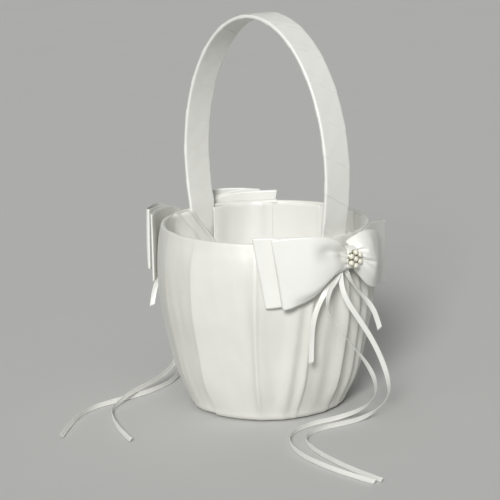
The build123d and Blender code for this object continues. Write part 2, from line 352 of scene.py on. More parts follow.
# Each tail: its route, and at shares of its length how much its width lies square to the direction FACING,
# along that direction, and upright
TAILS = {
    "front_tail_long_a": (
        [
            (86, -7.5, 114), (86.5, -13, 106), (88, -21.5, 100.5), (91, -26.5, 90), (93.5, -20, 76),
            (96, -7.5, 61), (98, 4.5, 46), (98.5, 13, 31), (93.5, 17.5, 17), (83, 13, 7), (73.5, -1, 1.9),
            (69.5, -19, 1.9), (71.5, -38, 1.9), (81, -54, 1.9), (97, -66, 1.9), (117, -73, 1.9),
            (139, -76, 1.9), (162, -76.5, 1.9), (184.5, -74.5, 1.9),
        ],
        [(0, 1, 0, 0), (0.06, 1, 0.4, 0), (0.12, 0.1, 1, 0), (0.22, 0.25, 1, 0), (0.31, 0.9, 0.6, 0),
         (0.38, 0.2, 1, 0.2), (0.45, 0, 0.2, 1), (0.5, 0, 0, 1), (0.62, 0, 0.25, 1), (0.75, 0, 0, 1),
         (1, 0, -0.1, 1)],
    ),
    "front_tail_long_b": (
        [
            (86, -9, 114), (87, -9.5, 103.5), (90, -7.5, 92), (93.5, 0.5, 78.5), (96.5, 10, 63),
            (98, 18, 47.5), (98.5, 24.5, 31.5), (95.5, 29.5, 16.5), (89.5, 24, 6.5), (86.5, 10, 1.9),
            (84.5, -7, 1.9),
            (82, -22, 1.9), (84, -38, 1.9), (93, -50, 1.9), (108, -57.5, 1.9), (128, -63, 1.9),
            (148, -66.5, 1.9), (167, -68.5, 1.9), (185.5, -69, 1.9),
        ],
        [(0, 1, 0, 0), (0.28, 1, 0.1, 0), (0.34, 0.7, 0.7, 0), (0.395, 0.1, 1, 0.2), (0.45, 0, 0.2, 1),
         (0.5, 0, 0, 1), (0.6, 0, 0.3, 1), (0.7, 0, 0.1, 1), (1, 0, 0, 1)],
    ),
    "front_tail_short_a": (
        [
            (84, -10, 113.5), (85, -15.5, 106), (84, -22, 98), (82.5, -27, 89.5), (80, -29, 78.5),
            (78, -29, 63), (76.5, -28, 48),
        ],
        [(0, 1, 0.2, 0), (0.2, 1, 0.3, 0), (0.36, 1, -0.5, 0), (0.55, 1, 0.1, 0), (1, 1, 0, 0)],
    ),
    "front_tail_short_b": (
        [
            (83.5, -3, 114), (84.5, 1.5, 104), (86, 8.5, 94.5), (88.5, 16, 85.5), (90, 21.5, 76),
            (90, 25, 65),
        ],
        [(0, 1, 0, 0), (0.35, 0.5, 1, 0), (0.7, 1, 0.1, 0), (1, 1, -0.1, 0)],
    ),
    "back_tail_long_a": (
        [
            (-86, 1.9, 114), (-87.5, 4.5, 103), (-91, 5, 90), (-95, 3.5, 75), (-98, 3, 58), (-99, 4, 42),
            (-98, 2, 27), (-92, -8, 16), (-83.5, -23, 9.5), (-77, -41, 7), (-71, -58, 6.6), (-66, -75, 6),
            (-61.5, -90, 3), (-54, -102, 1.9), (-41, -111.5, 1.9), (-25, -120.5, 1.9), (-8, -128, 1.9),
            (9, -134, 1.9),
        ],
        [(0, 1, 0, 0), (0.3, 1, 0.2, 0), (0.42, 0.9, 0, 0.4), (0.6, 0.4, 0, 0.9), (0.74, 0, 0.2, 1),
         (0.84, -0.6, 0, 0.6), (1, -1, 0, 0.2)],
    ),
    "back_tail_long_b": (
        [
            (-86, -2.1, 114), (-88, -4, 103), (-92, -3, 90), (-97.5, -1, 75), (-102.5, 1, 59),
            (-105, 1.5, 43), (-103.5, 1, 28), (-96.5, -2, 14.5), (-87, -11, 5.5), (-79, -24.5, 1.9),
            (-73, -41, 1.9),
            (-69.5, -58, 1.9), (-69, -75, 1.9), (-69, -91, 1.9), (-68, -107, 1.9), (-62, -122, 1.9),
            (-53, -136.5, 1.9), (-42.5, -150, 1.9), (-31.5, -162.5, 1.9),
        ],
        [(0, 1, 0, 0), (0.3, 1, 0.2, 0), (0.42, 0.5, 0, 1), (0.5, 0.3, 0, 1), (0.76, 0.3, 0, 0.9),
         (0.83, 0.05, 0.4, 0.6), (0.89, 0.8, 0.1, 0.3), (1, 1, 0, 0.2)],
    ),
    "back_tail_short_a": (
        [
            (-81.4, 1.9, 114), (-82, 6.5, 104.5), (-83, 14, 97.5), (-83.5, 21, 89), (-82.5, 26, 77.5),
            (-80.5, 28, 63), (-79, 28, 49),
        ],
        [(0, 1, 0, 0), (1, 1, 0, 0)],
    ),
    "back_tail_short_b": (
        [
            (-81.2, -2.2, 114), (-82.5, -7, 104), (-84.5, -13.5, 96), (-87, -21.5, 87.5), (-89, -29, 78),
            (-88.8, -33, 68.5), (-88.4, -35, 60),
        ],
        [(0, 1, 0, 0), (0.5, 1, 0.4, 0), (1, 1, 0, 0)],
    ),
}


def centreline(name, route):
    """Points in mm along the smooth curve that a route makes, about 1 mm apart."""
    curve = bpy.data.curves.new(name + "_line", "CURVE")
    curve.dimensions = "3D"
    spline = curve.splines.new("NURBS")
    spline.points.add(len(route) - 1)
    for point, place in zip(spline.points, route):
        point.co = (*(value * MM for value in place), 1)
    spline.order_u = 3
    spline.use_endpoint_u = True
    spline.resolution_u = 16
    holder = bpy.data.objects.new(name + "_line", curve)
    scene.collection.objects.link(holder)
    bpy.context.view_layer.update()
    evaluated = holder.evaluated_get(bpy.context.evaluated_depsgraph_get())
    line = bpy.data.meshes.new_from_object(evaluated)
    points = np.array([v.co for v in line.vertices], float) / MM
    bpy.data.objects.remove(holder)
    bpy.data.meshes.remove(line)
    bpy.data.curves.remove(curve)
    return points


TAIL_COLUMNS = 9
TAIL_CUT_ROWS = 4


def ribbon_tail(name, route, facings):
    """A flat ribbon along the curve, turned as facings say, with a slanted and slightly frayed cut end."""
    line = centreline(name, route)
    gone = lengths_along(line)
    shares = gone / gone[-1]
    tangents = np.gradient(line, gone, axis=0)
    tangents /= np.linalg.norm(tangents, axis=1)[:, None]
    stations = [facing[0] for facing in facings]
    square, viewed, upright = (
        curve_through(shares, stations, [facing[k] for facing in facings])[:, None] for k in (1, 2, 3)
    )
    widths = square * np.cross(tangents, FACING) + viewed * FACING + upright * np.array([0, 0, 1.0])
    widths -= (widths * tangents).sum(1)[:, None] * tangents
    widths /= np.linalg.norm(widths, axis=1)[:, None]
    columns = np.linspace(-1, 1, TAIL_COLUMNS)
    half = TAIL_RIBBON_WIDTH / 2 - 0.1
    normals = np.cross(tangents, widths)
    cup = 0.16 * (1 - columns**2)
    grid = (
        line[:, None]
        + widths[:, None] * (columns * half)[None, :, None]
        + normals[:, None] * (cup + 0.05 * np.sin(0.35 * gone)[:, None] * columns)[:, :, None]
    )
    fray = np.array([(7 * k * k + 3 * k) % 5 / 4 - 0.5 for k in range(TAIL_COLUMNS)])
    reach = 1.2 * columns + 0.35 * fray
    for back in range(TAIL_CUT_ROWS):
        grid[-1 - back] += tangents[-1 - back] * (reach * (1 - back / TAIL_CUT_ROWS))[:, None]
    ribbon_name = f"{name}_ribbon"
    mesh = sheet_mesh(ribbon_name, grid, across=(columns + 1) / 2 * TAIL_RIBBON_WIDTH, along=gone)
    piece = new_piece(ribbon_name, mesh, tail_satin, [name])
    thicken(piece, 0.22)
    leaves = np.interp(-low_high(name)[1][2], -line[:, 2], np.arange(len(line)))


for tail_name, (tail_route, tail_facings) in TAILS.items():
    ribbon_tail(tail_name, tail_route, tail_facings)


# ---------------------------------------------------------------- cup: measures from the frame

cover_high = low_high("outer_cover")[1]
RIM_HEIGHT = cover_high[2]
WALL_HEIGHTS = [6.0, 26.0, 53.0, 79.0, 105.0, RIM_HEIGHT]
WALL_RADII = [57.25, 64.7, 70.8, 75.6, cover_high[0], 75.0]
CORNER_CENTRE = 51.5
CORNER_HEIGHT = 6.0
CORNER_RADIUS = WALL_RADII[0] - CORNER_CENTRE


def wall_radius(z):
    """Outer radius of the cup at a height."""
    return curve_through(z, WALL_HEIGHTS, WALL_RADII, 0.42, -0.1)


def profile(inset, low_points, corner_steps, low, high, steps, top_points):
    """Points (radius, height, share of the pleats' lift) along the cup's side, and their outward normals."""
    points = list(low_points)
    radius = CORNER_RADIUS - inset
    for k in range(corner_steps):
        a = -pi / 2 + (pi / 2 - 0.1) * k / (corner_steps - 1)
        points.append((CORNER_CENTRE + radius * cos(a), CORNER_HEIGHT + radius * sin(a), 0.5 + 0.06 * k))
    for z in np.linspace(low, high, steps):
        points.append((float(wall_radius(z)) - inset, z, 1.0))
    points += list(top_points)
    points = np.array(points)
    tangents = np.gradient(points[:, :2], axis=0)
    tangents /= np.linalg.norm(tangents, axis=1)[:, None]
    normals = np.column_stack([tangents[:, 1], -tangents[:, 0]])
    return points, normals


# Knife pleat: places along the cloth, from its folded edge, as shares of the pleat's depth, and lifts in mm
PLEAT = [
    (-0.55, 0.0), (-0.25, 0.0), (-0.05, 0.0), (0.15, 0.0), (0.5, 0.0), (0.85, 0.0), (0.97, 0.06), (1.0, 0.22),
    (0.97, 0.40), (0.85, 0.46), (0.5, 0.48), (0.2, 0.49), (0.06, 0.5), (0.01, 0.56), (-0.012, 0.72),
    (0.0, 0.9), (0.03, 1.0), (0.08, 1.05), (0.2, 1.07), (0.5, 1.07), (0.85, 1.05), (1.2, 1.0),
]
COLUMN_STEP = radians(0.8)
END_PANEL_STEPS = 44


def pleated_columns(start, end, folds, depth):
    """(angle, lift) of a pleated cloth's columns from start to end, in radians and mm. A fold's edge is at its
    angle and lies on the panel before it; depth is the pleats' depth as an angle."""
    columns = []
    place, raised = start, 0.0
    for k, fold in enumerate([*folds, None]):
        stop = end if fold is None else fold + PLEAT[0][0] * depth
        steps = END_PANEL_STEPS
        if 0 < k < len(folds):
            steps = max(8, round((fold - folds[k - 1]) / COLUMN_STEP))
        columns += [(place + (stop - place) * j / steps, raised * (1 - j / steps)) for j in range(steps)]
        if fold is not None:
            columns += [(fold + t * depth, lift) for t, lift in PLEAT[:-1]]
            place, raised = fold + PLEAT[-1][0] * depth, PLEAT[-1][1]
    return np.array(columns)


def round_grid(points, normals, columns_of, lift_of, side, base_of=None, press=1.0):
    """Grid of a cloth round the cup: columns_of and lift_of say its pleats and gathers in each row, base_of
    what it lies over, side is 1 for lifts outwards and -1 for inwards, and press flattens the pleats."""
    grid = []
    for (radius, height, share), normal in zip(points, normals):
        angles, pleats = columns_of(radius, height).T
        lift = side * share * (press * pleats + lift_of(angles, radius, height))
        r = radius + normal[0] * lift
        if base_of is not None:
            r = r + side * base_of(angles, radius, height)
        grid.append(np.column_stack([r * np.cos(angles), r * np.sin(angles), height + normal[1] * lift]))
    return np.array(grid)


# ---------------------------------------------------------------- outer cover

COVER_INSET = 0.85
COVER_FOLDS = [radians(a) for a in (-142, -108, -83, 65, 101, 131)]
COVER_SEAM = radians(-165)
# Soft gathers round a bow: degrees from the bow's middle, height in mm, and widths in degrees on both sides
GATHERS = [
    (-47.5, 1.7, 2.6, 5.5), (-47.2, 0.9, 1.4, 0.7), (-28.0, 2.7, 3.6, 3.0), (-19.5, 1.8, 3.0, 1.0),
    (-8.0, 0.6, 3.0, 3.0), (4.6, 2.2, 4.0, 1.3), (17.0, 2.4, 3.6, 0.9), (26.0, 1.9, 3.2, 1.1),
    (38.0, 2.1, 4.0, 1.3), (50.0, 0.8, 4.0, 3.0),
]
# Where the cloth stands off the cup, in degrees, and how far, in mm: at the pleats and the strongest gathers
PANEL_EDGES = [
    (-142, 2.0), (-108, 0.7), (-83, 2.6), (-47.5, 1.9), (-19, 1.9), (5, 1.9), (29, 1.9), (65, 2.0),
    (101, 1.6), (131, 1.9), (161, 1.9), (185, 1.9), (204, 1.9), (218, 2.0),
]


def cover_columns(radius, height):
    depth = min((6.0 + (75.0 - radius) * 0.14) / radius, 0.155)
    return pleated_columns(COVER_SEAM, COVER_SEAM + tau, COVER_FOLDS, depth)


def flat_panels(angles, radius, height):
    """How far the cloth stands off the cup: it is stretched nearly straight from one edge to the next."""
    edges = np.radians([edge for edge, _ in PANEL_EDGES])
    share = float(smooth(133 - height, 0, 26) * smooth(height, 0, 34))
    proud = np.maximum(np.array([off for _, off in PANEL_EDGES]) * share, 0.3)
    around = (angles - edges[0]) % tau + edges[0]
    k = np.clip(np.searchsorted(edges, around, side="right") - 1, 0, len(edges) - 2)
    half = (edges[k + 1] - edges[k]) / 2
    t = (around - edges[k]) / half - 1
    mean = (proud[k] + proud[k + 1]) / 2
    middle = np.maximum(mean - 0.85 * radius * (1 - np.cos(half)), 0.22)
    return np.maximum(middle + (mean - middle) * t * t + (proud[k + 1] - proud[k]) / 2 * t, 0.2)


def cover_lift(angles, radius, height):
    """Gathers round both bows, and the slight fullness of the cloth elsewhere."""
    total = np.zeros(len(angles))
    down = float(smooth(118 - height, 0, 34))
    for middle, sway in ((0.0, 0.0), (pi, 1.3)):
        away = np.degrees((angles - middle + pi) % tau - pi)
        for k, (edge, high, before, after) in enumerate(GATHERS):
            lean = edge * (1 + 0.005 * (55 - height) * max(0.0, 1 - abs(edge) / 47))
            lean += 0.5 * sin(0.05 * height + 2.1 * k + sway)
            spread = 1 + 0.003 * (110 - height)
            tall = high * (0.35 + 0.65 * down) * (0.2 + 0.8 * float(smooth(height, 0, 24)))
            total += tall * bump_of(away, lean, before * spread, after * spread)
    fine = 0.07 * np.sin(37 * angles + 0.05 * height) * np.sin(0.045 * height + 5 * angles)
    return total + flat_panels(angles, radius, height) + np.maximum(fine, -0.1)


ROLL_RADIUS = 1.15
ROLL_CENTRE = WALL_RADII[-1] - COVER_INSET - ROLL_RADIUS
ROLL_HEIGHT = RIM_HEIGHT - 1.2
CLOTH_THICK = 0.18
roll = [
    (ROLL_CENTRE + ROLL_RADIUS * cos(a), ROLL_HEIGHT + ROLL_RADIUS * sin(a), 0.34)
    for a in (0.0, 0.35, 0.7, 1.05, 1.4, 1.75, 2.1, 2.45, 2.8, pi)
]
tuck = [(float(wall_radius(z)) - 2.85, z, 0.1) for z in (129.0, 127.0, 124.0, 120.0)]
hem = [(48.6, 0.95, 0.3), (50.0, 1.0, 0.35), (50.9, 1.05, 0.4)]
cover_points, cover_normals = profile(COVER_INSET, hem, 9, 7.4, ROLL_HEIGHT - 0.8, 62, roll + tuck)
cover_points[:, 2] = np.minimum(cover_points[:, 2], 1 - 0.66 * smooth(cover_points[:, 1], 120, 131))
cover_grid = round_grid(cover_points, cover_normals, cover_columns, cover_lift, 1)
cover = new_piece("outer_satin", sheet_mesh("outer_satin", cover_grid, closed=True), cover_satin,
                  ["outer_cover"])
thicken(cover, CLOTH_THICK)


# ---------------------------------------------------------------- lining, in two halves

LINING_INSET = 3.45
FOOT_FACE = 67.25
VERTEX_HEIGHT = 106.0
VERTEX_OFFSET = 10.0


def crossing_edge(height):
    """How far a lining half's slanted edge lies past the middle of the handle's foot, to the other side."""
    if height > VERTEX_HEIGHT:
        return VERTEX_OFFSET - (height - VERTEX_HEIGHT) * 22.0 / 25.0
    return VERTEX_OFFSET + min(6.0, (VERTEX_HEIGHT - height) * 0.3)


def upright_edge(height):
    """How far a lining half's upright edge lies from the middle of the handle's foot, on its own side."""
    return VERTEX_OFFSET - 2.0 - 3.0 * float(smooth(-height, -VERTEX_HEIGHT - 1, 8 - VERTEX_HEIGHT))


def over_foot(angles, radius, height):
    """How far towards the axis the lining stands to lie over the handle's foot."""
    beside = np.minimum(np.abs(radius * np.sin(angles)), 60)
    inwards = float(wall_radius(height)) - LINING_INSET - FOOT_FACE
    return inwards * smooth(-beside, -31, -11) * float(smooth(height, 80, 93))


def lining_half(folds, soft):
    """Grid of the half from the foot at angle 0, which its slanted edge crosses, to the other foot."""

    def columns(radius, height):
        start = -np.arcsin(crossing_edge(height) / radius)
        end = pi - np.arcsin(upright_edge(height) / radius)
        depth = min((4.5 + (72.0 - radius) * 0.12) / radius, 0.12)
        return pleated_columns(start, end, [radians(a) for a in folds], depth)

    def lift(angles, radius, height):
        total = 0.45 * smooth(-angles, -0.35, -0.05)
        for angle, high, before, after in soft:
            full = 0.6 + 0.4 * height / 130
            total = total + high * bump_of(np.degrees(angles), angle, before, after) * full
        slant = radius * angles + crossing_edge(height)
        above = float(smooth(height, 88, 112))
        for away, high in ((6.0, 1.5), (17.0, 1.9)):
            total = total + above * high * bump_of(slant, away, 2.6, 5.0)
        return total + 0.12 * np.sin(29 * angles + 0.04 * height) * np.sin(0.05 * height + 3 * angles)

    low = [(50.3, 3.2, 0.2), (51.0, 3.25, 0.3)]
    top_radius = float(wall_radius(130.0)) - LINING_INSET
    top = [
        (top_radius + out, height, share)
        for out, height, share in (
            (0.02, 130.3, 0.8), (0.12, 130.62, 0.75), (0.3, 130.72, 0.7), (0.46, 130.6, 0.65),
            (0.5, 130.2, 0.6), (0.55, 127.0, 0.5),
        )
    ]
    points, normals = profile(LINING_INSET, low, 7, 7.4, 130.0, 54, top)
    return round_grid(points, normals, columns, lift, -1, over_foot, 0.45)


LINING_LEFT = lining_half([44, 74, 104, 134], [(141, 0.9, 3, 4), (158, 1.0, 5, 6)])
LINING_RIGHT = turned(lining_half([38, 70, 102, 138], [(54, 0.8, 5, 5), (120, 0.8, 5, 6)]))
for half_name, half_grid, stands_for in (
    ("lining_left", LINING_LEFT, ["lining"]), ("lining_right", LINING_RIGHT, ["lining"]),
):
    half = new_piece(half_name, sheet_mesh(half_name, half_grid), lining_satin, stands_for)
    thicken(half, CLOTH_THICK)


# ---------------------------------------------------------------- covered discs

floor_low, floor_high = low_high("floor_satin")
base_high = low_high("base_cover")[1]


def disc_grid(rings, spokes, place):
    """Grid of rings from a small one at the middle outwards; place gives a point for a share and an angle."""
    return np.array([[place(r, tau * k / spokes) for k in range(spokes)] for r in rings])


def closed_middle(mesh):
    """Fills the small hole in the middle of a disc's grid."""
    work = bmesh.new()
    work.from_mesh(mesh)
    rim = [e for e in work.edges if e.is_boundary and all(v.co.xy.length < 0.003 for v in e.verts)]
    bmesh.ops.holes_fill(work, edges=rim, sides=0)
    work.to_mesh(mesh)
    work.free()
    return mesh


def floor_place(share, angle):
    """The padded disc on the inside floor: a low crown, drawn in at its edge with small puckers."""
    radius = floor_high[0] - 0.35
    crown = 1.15 * (1 - min(share, 1) ** 4)
    pucker = 0.16 * sin(46 * angle) * max(0.0, min(1.0, (share - 0.75) / 0.25))
    dimple = 0.14 * noise.noise((3.2 * share * cos(angle), 3.2 * share * sin(angle), 0.4))
    if share <= 1:
        return (radius * share * cos(angle), radius * share * sin(angle),
                floor_high[2] - 1.25 + crown + pucker + dimple * (1 - share**6))
    drop = (share - 1) * 10
    out = radius + 0.35 * sin(pi * min(drop / 2.6, 1)) + 0.1 * sin(46 * angle)
    return (out * cos(angle), out * sin(angle), max(floor_high[2] - 1.25 - drop, floor_low[2] + 0.05))


floor_rings = [
    0.03, *np.linspace(0.08, 0.94, 24), 0.96, 0.975, 0.99, 1.0, 1.02, 1.05, 1.1, 1.15, 1.2, 1.255,
]
floor_disc = sheet_mesh("floor_pad", disc_grid(floor_rings, 276, floor_place), closed=True)
floor_pad = new_piece("floor_pad", closed_middle(floor_disc), pad_satin, ["floor_satin"])


def base_place(share, angle):
    """Satin over the card under the base: flat, with its edge turned up and pleated small."""
    radius = base_high[0] - 0.3
    if share <= 1:
        sag = 0.05 * noise.noise((4 * share * cos(angle), 4 * share * sin(angle), 2.1))
        return (radius * share * cos(angle), radius * share * sin(angle), 0.08 + sag * (1 - share**4) + 0.03)
    up = (share - 1) * 10
    out = radius + 0.25 * sin(pi * min(up, 1)) + 0.05 * sin(60 * angle)
    return (out * cos(angle), out * sin(angle), 0.1 + up)


base_rings = [0.03, *np.linspace(0.08, 0.95, 20), 0.97, 0.985, 0.995, 1.0, 1.02, 1.04, 1.06]
base_disc = sheet_mesh("base_satin", disc_grid(base_rings, 240, base_place)[:, ::-1], closed=True)
base_sheet = new_piece("base_satin", closed_middle(base_disc), cover_satin, ["base_cover"])


# ---------------------------------------------------------------- handle: one ribbon wound along the strip

wrap_low, wrap_high = low_high("handle_wrap")
HANDLE_TOP = wrap_high[2]
HANDLE_HALF_WIDTH = wrap_high[1]
SPRING_HEIGHT = 172.0
SPRING_SPAN = wrap_high[0]
FOOT_BEND_HEIGHT = 129.0
FOOT_BEND_SPAN = 71.2
FOOT_LOW_SPAN = 72.2
HANDLE_THICK = 2.6
EDGE_ROUND = 1.1
WRAP_PITCH = 26.5
WRAP_LAP = 5.5
WRAP_INSET = 0.08
WRAP_CLOTH_THICK = 0.12
LAP_RISE = 0.26
FOOT_STEPS = 40
# The staple's crown inside the foot, and the bulge that it makes in the wrap: height and width on each side
STAPLE_HEIGHT = 118.0
STAPLE_BULGE = 1.1
STAPLE_BULGE_WIDTH = 6.5


def handle_path():
    """Points (x, z) about 0.5 mm apart along the outer face, from the front foot over to the back foot."""
    leans, rises = FOOT_BEND_SPAN - FOOT_LOW_SPAN, FOOT_BEND_HEIGHT - wrap_low[2]
    foot = [(FOOT_LOW_SPAN + leans * t, wrap_low[2] + rises * t) for t in np.linspace(0, 1, FOOT_STEPS)[:-1]]
    heights = np.linspace(FOOT_BEND_HEIGHT, SPRING_HEIGHT, 60)[:-1]
    bend = curve_through(
        heights, [FOOT_BEND_HEIGHT, 148.0, SPRING_HEIGHT], [FOOT_BEND_SPAN, 73.8, SPRING_SPAN], -0.02, 0
    )
    arch = [(SPRING_SPAN * cos(a), SPRING_HEIGHT + (HANDLE_TOP - SPRING_HEIGHT) * sin(a))
            for a in np.linspace(0, pi / 2, 200)]
    half = foot + list(zip(bend, heights)) + arch
    return np.array(half + [(-x, z) for x, z in half[-2::-1]])


def round_band(out):
    """Points (across, depth) once round the band's section, out mm outside the ribbon's lowest turn, from the
    middle of the outer face towards -Y."""
    wide = HANDLE_HALF_WIDTH - WRAP_INSET + out
    thick = HANDLE_THICK / 2 - WRAP_INSET + out
    turn = EDGE_ROUND - WRAP_INSET + out
    flat = wide - turn

    def corner(across, depth, start):
        angles = np.linspace(start, start + pi / 2, 6)
        return [(across + turn * cos(a), depth + turn * sin(a)) for a in angles]

    points = [(y, thick) for y in np.linspace(0, -flat, 9)[:-1]]
    points += corner(-flat, thick - turn, pi / 2) + corner(-flat, -thick + turn, pi)
    points += [(y, -thick) for y in np.linspace(-flat, flat, 17)[1:-1]]
    points += corner(flat, -thick + turn, 3 * pi / 2) + corner(flat, thick - turn, 2 * pi)
    points += [(y, thick) for y in np.linspace(flat, 0, 9)[1:-1]]
    return np.array(points)


handle_line = handle_path()
handle_gone = lengths_along(handle_line)
handle_slope = np.gradient(handle_line, handle_gone, axis=0)
handle_slope /= np.linalg.norm(handle_slope, axis=1)[:, None]
handle_length = handle_gone[-1]


def on_handle(gone, across, depth):
    """Point at gone mm along the handle, across its width and depth mm outside its middle layer."""
    gone = np.clip(gone, 0, handle_length)
    x = np.interp(gone, handle_gone, handle_line[:, 0])
    z = np.interp(gone, handle_gone, handle_line[:, 1])
    tx = np.interp(gone, handle_gone, handle_slope[:, 0])
    tz = np.interp(gone, handle_gone, handle_slope[:, 1])
    out = depth - HANDLE_THICK / 2
    return np.stack([x + tz * out, across + 0 * x, z - tx * out], axis=-1)


def wound_ribbon():
    """The ribbon in a helix from foot to foot, each turn's edge lying on the turn before it."""
    lap = (WRAP_PITCH + WRAP_LAP) / 2
    offsets = np.concatenate([[-lap, -lap + 0.25], np.linspace(-lap + 1.2, -lap + WRAP_LAP + 1, 6),
                              np.linspace(-lap + WRAP_LAP + 3, lap - 1.2, 10), [lap - 0.25, lap]])
    sections = [round_band(out) for out in (0.0, LAP_RISE)]
    once = len(sections[0])
    goes = lengths_along(np.vstack([sections[0], sections[0][:1]]))
    turns = int(handle_length / WRAP_PITCH) + 3
    crown = float(np.interp(STAPLE_HEIGHT, handle_line[:FOOT_STEPS, 1], handle_gone[:FOOT_STEPS]))
    grid, along = [], []
    for turn in range(-1, turns):
        for k in range(once):
            middle = WRAP_PITCH * (turn + goes[k] / goes[-1])
            lapped = smooth(-offsets, lap - WRAP_LAP - 4.0, lap - WRAP_LAP)
            bow = 0.05 * np.sin(0.9 * middle + 0.3 * offsets)
            low, high = sections[0][k], sections[1][k]
            across = low[0] + (high[0] - low[0]) * lapped * 0.95
            depth = low[1] + (high[1] - low[1]) * lapped * 0.95
            depth = depth + np.sign(low[1]) * bow * (abs(low[0]) < HANDLE_HALF_WIDTH - 2)
            if low[1] < 0:
                from_foot = np.minimum(middle + offsets, handle_length - middle - offsets)
                over = STAPLE_BULGE * smooth(HANDLE_HALF_WIDTH - abs(low[0]), 0.3, 3.0)
                depth = depth - over * bump_of(from_foot, crown, STAPLE_BULGE_WIDTH, STAPLE_BULGE_WIDTH)
            grid.append(on_handle(middle + offsets, across, depth))
            along.append(goes[-1] * (turn + goes[k] / goes[-1]) * 1.13)
    share = (offsets + lap) / (2 * lap) * WRAP_RIBBON_WIDTH
    return sheet_mesh("handle_ribbon", np.array(grid), across=share, along=np.array(along))


def without_slivers(mesh):
    """Removes the faces that the ends of the handle squeezed flat."""
    work = bmesh.new()
    work.from_mesh(mesh)
    flat = [f for f in work.faces if f.calc_area() < 1e-9]
    bmesh.ops.delete(work, geom=flat, context="FACES")
    loose = [v for v in work.verts if not v.link_faces]
    bmesh.ops.delete(work, geom=loose, context="VERTS")
    work.to_mesh(mesh)
    work.free()
    return mesh


handle_ribbon = new_piece(
    "handle_ribbon", without_slivers(wound_ribbon()), wrap_satin, ["handle_wrap"],
)
thicken(handle_ribbon, WRAP_CLOTH_THICK)


# ---------------------------------------------------------------- bows

knot_low, knot_high = low_high("front_bow_knot")
KNOT_MIDDLE = (knot_low[2] + knot_high[2]) / 2

# Edges of a ribbon loop: distance from the bow's middle, height of the top edge and of the bottom edge
LEFT_FRONT = (
    [0, 2, 5, 8, 12, 17, 21, 28, 35, 43, 50.8, 60],
    [124.8, 125.2, 126.4, 129.5, 133, 136, 137.6, 138.9, 139.2, 138.9, 138, 137],
    [113.6, 113.6, 113.4, 112.6, 111.0, 107.6, 104.0, 97.8, 93.4, 91.2, 89.2, 87],
)
RIGHT_FRONT = (
    [0, 2, 5, 8, 12, 17, 21, 28, 35, 43, 54, 60],
    [126.0, 127.6, 130.2, 132.4, 134.2, 135.2, 135.2, 134.0, 131.6, 128.0, 126, 126],
    [115.0, 114.2, 111.6, 107.6, 102.4, 97.6, 95.2, 93.6, 95.2, 99.6, 102, 102],
)
HIDDEN_LEFT = (
    [0, 2, 5, 8, 12, 17, 21, 28, 35, 43, 57, 65],
    [125, 125.4, 126.2, 128, 130.5, 133, 134.6, 136.4, 137.2, 137.7, 138, 138],
    [114.6, 114.6, 114.4, 113.4, 110.8, 107, 103.6, 98, 94, 91, 88.6, 88.4],
)
HIDDEN_RIGHT = (
    [0, 2, 5, 8, 12, 17, 21, 28, 35, 43, 57, 65],
    [125, 125.4, 126.6, 128.6, 131.6, 134, 135.4, 136.6, 136.4, 135.2, 132.6, 131.6],
    [114.6, 114.6, 114.4, 113.4, 110.8, 107, 103.6, 98, 94, 90.6, 87.2, 86.4],
)
BACK_END = (
    *HIDDEN_LEFT[:2], [114, 113.6, 113, 111.6, 109.4, 106, 103, 98.6, 96, 94.6, 93.6, 93.4],
)
ACROSS = np.linspace(0, 1, 41)


def left_shape(y, w):
    """How far the front of the left loop stands out at y mm from the knot and w from bottom edge to top: a full
    belly, a spoon-shaped hollow from the knot, and a bottom edge that curls under."""
    belly = 2.4 * np.sin(pi * w) * smooth(y, 4, 20) * (1 - 0.75 * smooth(y, 30, 54))
    middle = 0.60 + 0.11 * smooth(y, 8, 30)
    narrow = 1 - 0.35 * smooth(y, 8, 30)
    hollow = -4.2 * bump_of(w, middle, 0.24 * narrow, 0.20 * narrow)
    hollow = hollow * smooth(y, 3, 12) * (1 - smooth(y, 20, 34))
    hollow = hollow + 1.3 * bump_of(w, middle - 0.02, 0.05, 0.05) * smooth(y, 2, 7) * (1 - smooth(y, 12, 24))
    lip = 0.9 * bump_of(w, 0.95, 0.16, 0.2) * smooth(y, 6, 14) * (1 - smooth(y, 22, 40))
    curl = -4.6 * (1 - smooth(w, 0, 0.24)) ** 2 * smooth(y, 6, 18) * (1 - smooth(y, 34, 50))
    pinch = 0.5 * np.sin(7 * pi * w) * (1 - smooth(y, 4, 13))
    return belly + hollow + lip + curl + pinch


def right_shape(y, w):
    """The same for the right loop: three lobes near the knot, parted by creases."""
    back = -8.8 * np.abs(2 * w - 0.90) ** 2.0 * smooth(y, 0, 4) * (1 - smooth(y, 12, 46))
    first = -3.4 * bump_of(w, 0.60 + 0.006 * y, 0.04, 0.05) * smooth(y, 3, 6) * (1 - smooth(y, 8, 14))
    second = -4.0 * bump_of(w, 0.40 + 0.003 * y, 0.05, 0.04) * smooth(y, 3, 6) * (1 - smooth(y, 13, 23))
    lobes = bump_of(w, 0.51, 0.12, 0.12) + bump_of(w, 0.24, 0.13, 0.14) + 0.9 * bump_of(w, 0.8, 0.12, 0.14)
    lobes = 1.8 * lobes * smooth(y, 3, 9) * (1 - smooth(y, 18, 27))
    return back + first + second + lobes


def plain_shape(y, w):
    """The same for the loops behind: slightly full, with small folds near the knot."""
    belly = 0.9 * np.sin(pi * w) * smooth(y, 5, 20) * (1 - smooth(y, 30, 56))
    return belly + 0.35 * np.sin(5 * pi * w) * (1 - smooth(y, 5, 20))


